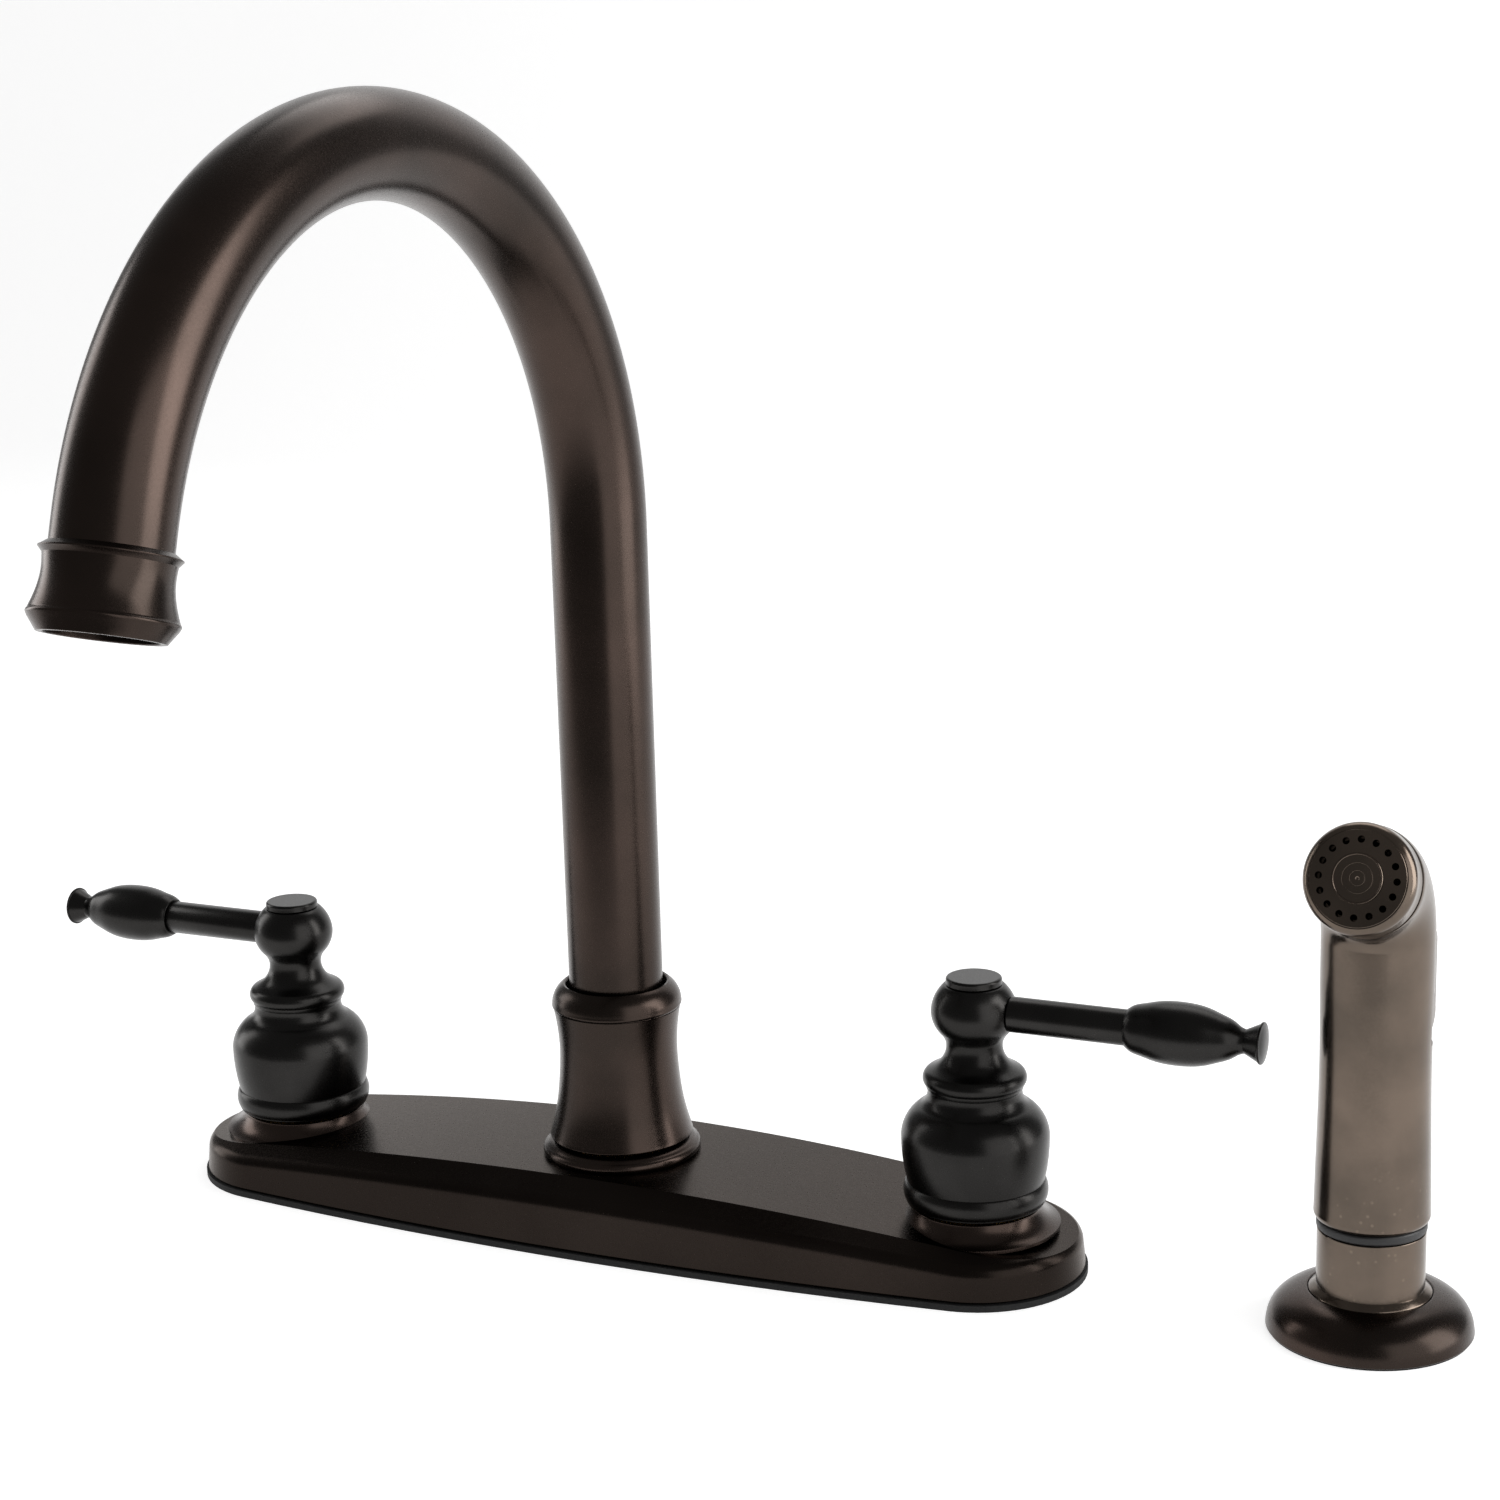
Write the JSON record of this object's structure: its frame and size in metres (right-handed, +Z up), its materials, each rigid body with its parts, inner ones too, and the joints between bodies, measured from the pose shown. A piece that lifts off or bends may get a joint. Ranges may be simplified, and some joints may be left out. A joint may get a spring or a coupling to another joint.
{
  "type": "two handle kitchen faucet with side sprayer",
  "caption": "High-arc kitchen faucet with lever handles on a crowned cover plate, and a side sprayer resting in its own guide.",
  "frame": {"origin": "on the spout's swivel axis, at the deck plane where the gasket's underside rests", "axes": "+X towards the cold handle and the sprayer, -Y towards the person at the sink, +Z up along the spout's swivel axis"},
  "size_m": [0.4048, 0.2499, 0.3505],
  "materials": {
    "dark_bronze": "satin oil-rubbed bronze coating",
    "plate_bronze": "satin oil-rubbed bronze coating",
    "black_bronze": "matte near-black bronze coating",
    "spray_bronze": "satin bronze coating with faint speckle",
    "raw_brass": "machined",
    "steel": "zinc plated",
    "rubber": "matte",
    "black_plastic": "matte",
    "white_plastic": "satin"
  },
  "bodies": {
    "deck": {"deck_plate": "plate_bronze", "deck_gasket": "rubber", "waterway": "raw_brass", "hot_supply_shank": "raw_brass", "cold_supply_shank": "raw_brass", "shank_washers": "steel", "shank_nuts": "raw_brass", "hose_outlet_nipple": "raw_brass", "hot_cartridge": "raw_brass", "cold_cartridge": "raw_brass", "cartridge_seals": "rubber", "hot_bonnet_nut": "raw_brass", "cold_bonnet_nut": "raw_brass", "spout_base_ring": "dark_bronze", "spout_socket": "raw_brass", "spout_sleeve": "dark_bronze", "glide_washer_lower": "white_plastic", "glide_washer_upper": "white_plastic", "diverter_cage": "white_plastic", "sprayer_flange": "dark_bronze", "flange_gasket": "rubber", "sprayer_guide": "spray_bronze", "guide_washer": "steel", "guide_nut": "black_plastic"},
    "diverter": {"diverter_piston": "white_plastic"},
    "spout": {"spout_tube": "dark_bronze", "spout_tail": "raw_brass", "spout_o_rings": "rubber", "aerator_housing": "dark_bronze", "aerator_washer": "rubber", "aerator_insert": "black_plastic", "aerator_screen": "black_plastic"},
    "hot_handle": {"hot_hub": "black_bronze", "hot_lever_rod": "black_bronze", "hot_lever_grip": "black_bronze", "hot_index_cap": "black_bronze", "hot_handle_screw": "steel", "hot_stem": "raw_brass"},
    "cold_handle": {"cold_hub": "black_bronze", "cold_lever_rod": "black_bronze", "cold_lever_grip": "black_bronze", "cold_index_cap": "black_bronze", "cold_handle_screw": "steel", "cold_stem": "raw_brass"},
    "coupling": {"coupling_collar": "black_plastic", "coupling_washer": "rubber"},
    "wand": {"wand_body": "spray_bronze", "face_gasket": "rubber", "spray_bezel": "spray_bronze", "spray_face": "spray_bronze", "spray_centre": "spray_bronze", "trigger_pin": "steel"},
    "trigger": {"trigger": "spray_bronze"},
    "plunger": {"valve_plunger": "black_plastic", "valve_spring": "steel"}
  },
  "joints": [
    {"name": "spout_swivel", "type": "hinge", "parent": "deck", "child": "spout", "pos_m": [0, 0, 0.0436], "axis": [0, 0, 1], "continuous": true},
    {"name": "hot_handle_turn", "type": "hinge", "parent": "deck", "child": "hot_handle", "pos_m": [-0.1016, 0, 0.019], "axis": [0, 0, 1], "range_deg": [0, 90]},
    {"name": "cold_handle_turn", "type": "hinge", "parent": "deck", "child": "cold_handle", "pos_m": [0.1016, 0, 0.019], "axis": [0, 0, 1], "range_deg": [-90, 0]},
    {"name": "diverter_slide", "type": "slide", "parent": "deck", "child": "diverter", "axis": [0, 0, 1], "range_m": [0, 0.003]},
    {"name": "wand_lift", "type": "slide", "parent": "deck", "child": "coupling", "axis": [0, 0, 1], "range_m": [0, 0.045]},
    {"name": "wand_turn", "type": "hinge", "parent": "coupling", "child": "wand", "pos_m": [0.2032, 0, 0.029], "axis": [0, 0, 1], "continuous": true},
    {"name": "trigger_squeeze", "type": "hinge", "parent": "wand", "child": "trigger", "pos_m": [0.2032, 0.006, 0.0965], "axis": [-1, 0, 0], "range_deg": [0, 8]},
    {"name": "plunger_slide", "type": "slide", "parent": "wand", "child": "plunger", "axis": [0, -1, 0], "range_m": [0, 0.0014], "stiffness_N_per_m": 5000, "springref_m": -0.00005}
  ],
  "couplings": [
    {"joint": "trigger_squeeze", "follows": "plunger_slide", "rad_per_m": 95.238}
  ]
}
